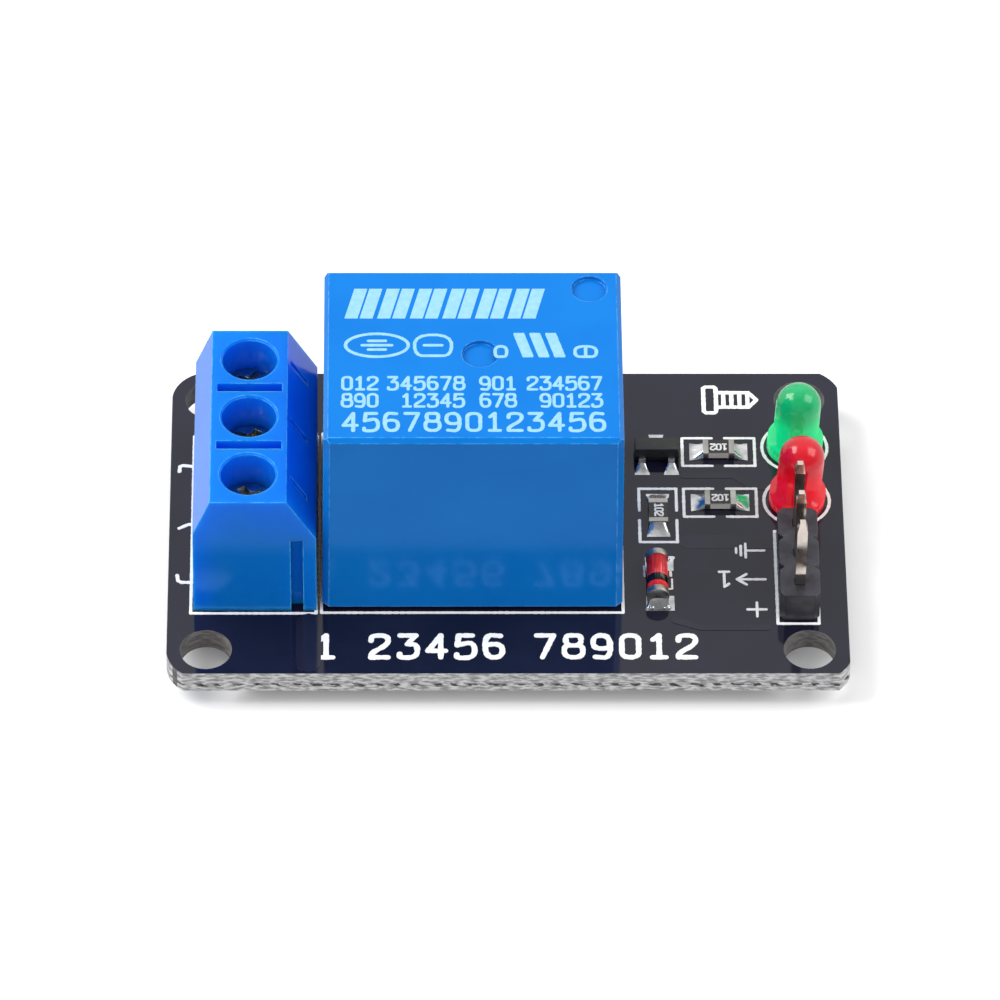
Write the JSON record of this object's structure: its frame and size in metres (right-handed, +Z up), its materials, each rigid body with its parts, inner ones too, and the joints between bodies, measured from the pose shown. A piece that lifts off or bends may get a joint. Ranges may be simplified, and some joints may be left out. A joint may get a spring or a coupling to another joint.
{
  "type": "relay module board",
  "caption": "Small circuit board with a boxed relay, a screw terminal block, a pin header, signal lamps and coil driver parts, for switching a load from a logic signal.",
  "frame": {"origin": "below the middle of the board's rectangle, on the plane of the trimmed solder stubs that the module stands on", "axes": "+X from the screw terminal to the header, along the board's length; +Y to the back edge; +Z up out of the component side"},
  "size_m": [0.043, 0.0262, 0.0183],
  "materials": {
    "solder_mask": "glossy black solder mask over glass-epoxy laminate",
    "terminal_plastic": "semi-gloss moulded nylon",
    "cage_brass": "bright formed brass",
    "guard_steel": "bright spring steel",
    "screw_steel": "zinc plated",
    "relay_plastic": "glossy moulded thermoplastic",
    "base_plastic": "satin moulding",
    "bobbin_plastic": "satin moulding",
    "winding_copper": "enamelled copper wire",
    "relay_iron": "nickel-plated soft iron",
    "contact_copper": "copper alloy with silver contacts",
    "tinned_lead": "tin plated",
    "header_plastic": "satin moulding",
    "header_metal": "bright tin plate",
    "green_epoxy": "diffused glossy epoxy",
    "red_epoxy": "diffused glossy epoxy",
    "chip_film": "glazed resistor film on ceramic",
    "chip_end_metal": "tin plated",
    "moulded_epoxy": "matt moulded epoxy",
    "tinted_glass": "glossy tinted glass",
    "solder": "bright solder"
  },
  "bodies": {
    "board": {"circuit_board": "solder_mask", "terminal_housing": "terminal_plastic", "clamp_cage_1": "cage_brass", "clamp_cage_2": "cage_brass", "clamp_cage_3": "cage_brass", "relay_case": "relay_plastic", "relay_base": "base_plastic", "relay_bobbin": "bobbin_plastic", "relay_coil_winding": "winding_copper", "relay_core": "relay_iron", "relay_yoke": "relay_iron", "relay_no_terminal": "contact_copper", "relay_nc_terminal": "contact_copper", "relay_coil_pin_1": "tinned_lead", "relay_coil_pin_2": "tinned_lead", "header_housing": "header_plastic", "header_pin_1": "header_metal", "header_pin_2": "header_metal", "header_pin_3": "header_metal", "green_lamp_lens": "green_epoxy", "green_lamp_anode": "tinned_lead", "green_lamp_cathode": "tinned_lead", "red_lamp_lens": "red_epoxy", "red_lamp_anode": "tinned_lead", "red_lamp_cathode": "tinned_lead", "resistor_1": "chip_film", "resistor_2": "chip_film", "resistor_3": "chip_film", "resistor_ends_1": "chip_end_metal", "resistor_ends_2": "chip_end_metal", "resistor_ends_3": "chip_end_metal", "transistor_body": "moulded_epoxy", "transistor_base_lead": "tinned_lead", "transistor_emitter_lead": "tinned_lead", "transistor_collector_lead": "tinned_lead", "diode_glass": "tinted_glass", "diode_front_cap": "tinned_lead", "diode_back_cap": "tinned_lead", "terminal_solder": "solder", "relay_solder": "solder", "header_solder": "solder", "lamp_solder": "solder", "chip_solder": "solder"},
    "guard_1": {"wire_guard_1": "guard_steel"},
    "guard_2": {"wire_guard_2": "guard_steel"},
    "guard_3": {"wire_guard_3": "guard_steel"},
    "screw_1": {"clamp_screw_1": "screw_steel"},
    "screw_2": {"clamp_screw_2": "screw_steel"},
    "screw_3": {"clamp_screw_3": "screw_steel"},
    "armature": {"relay_armature": "relay_iron", "relay_contact_blade": "contact_copper"}
  },
  "joints": [
    {"name": "clamp_lift_1", "type": "slide", "parent": "board", "child": "guard_1", "axis": [0, 0, 1], "range_m": [0, 0.002]},
    {"name": "screw_turn_1", "type": "hinge", "parent": "guard_1", "child": "screw_1", "pos_m": [-0.01635, -0.00524, 0.0092], "axis": [0, 0, 1], "range_deg": [0, 1600]},
    {"name": "clamp_lift_2", "type": "slide", "parent": "board", "child": "guard_2", "axis": [0, 0, 1], "range_m": [0, 0.002]},
    {"name": "screw_turn_2", "type": "hinge", "parent": "guard_2", "child": "screw_2", "pos_m": [-0.01635, -0.00024, 0.0092], "axis": [0, 0, 1], "range_deg": [0, 1600]},
    {"name": "clamp_lift_3", "type": "slide", "parent": "board", "child": "guard_3", "axis": [0, 0, 1], "range_m": [0, 0.002]},
    {"name": "screw_turn_3", "type": "hinge", "parent": "guard_3", "child": "screw_3", "pos_m": [-0.01635, 0.00476, 0.0092], "axis": [0, 0, 1], "range_deg": [0, 1600]},
    {"name": "armature_pull", "type": "hinge", "parent": "board", "child": "armature", "pos_m": [0.00576, -0.00008, 0.0144], "axis": [0, -1, 0], "range_deg": [0, 2], "stiffness_Nm_per_rad": 0.005, "springref_deg": -17.19}
  ],
  "couplings": [
    {"joint": "screw_turn_1", "follows": "clamp_lift_1", "rad_per_m": 13963},
    {"joint": "screw_turn_2", "follows": "clamp_lift_2", "rad_per_m": 13963},
    {"joint": "screw_turn_3", "follows": "clamp_lift_3", "rad_per_m": 13963}
  ]
}
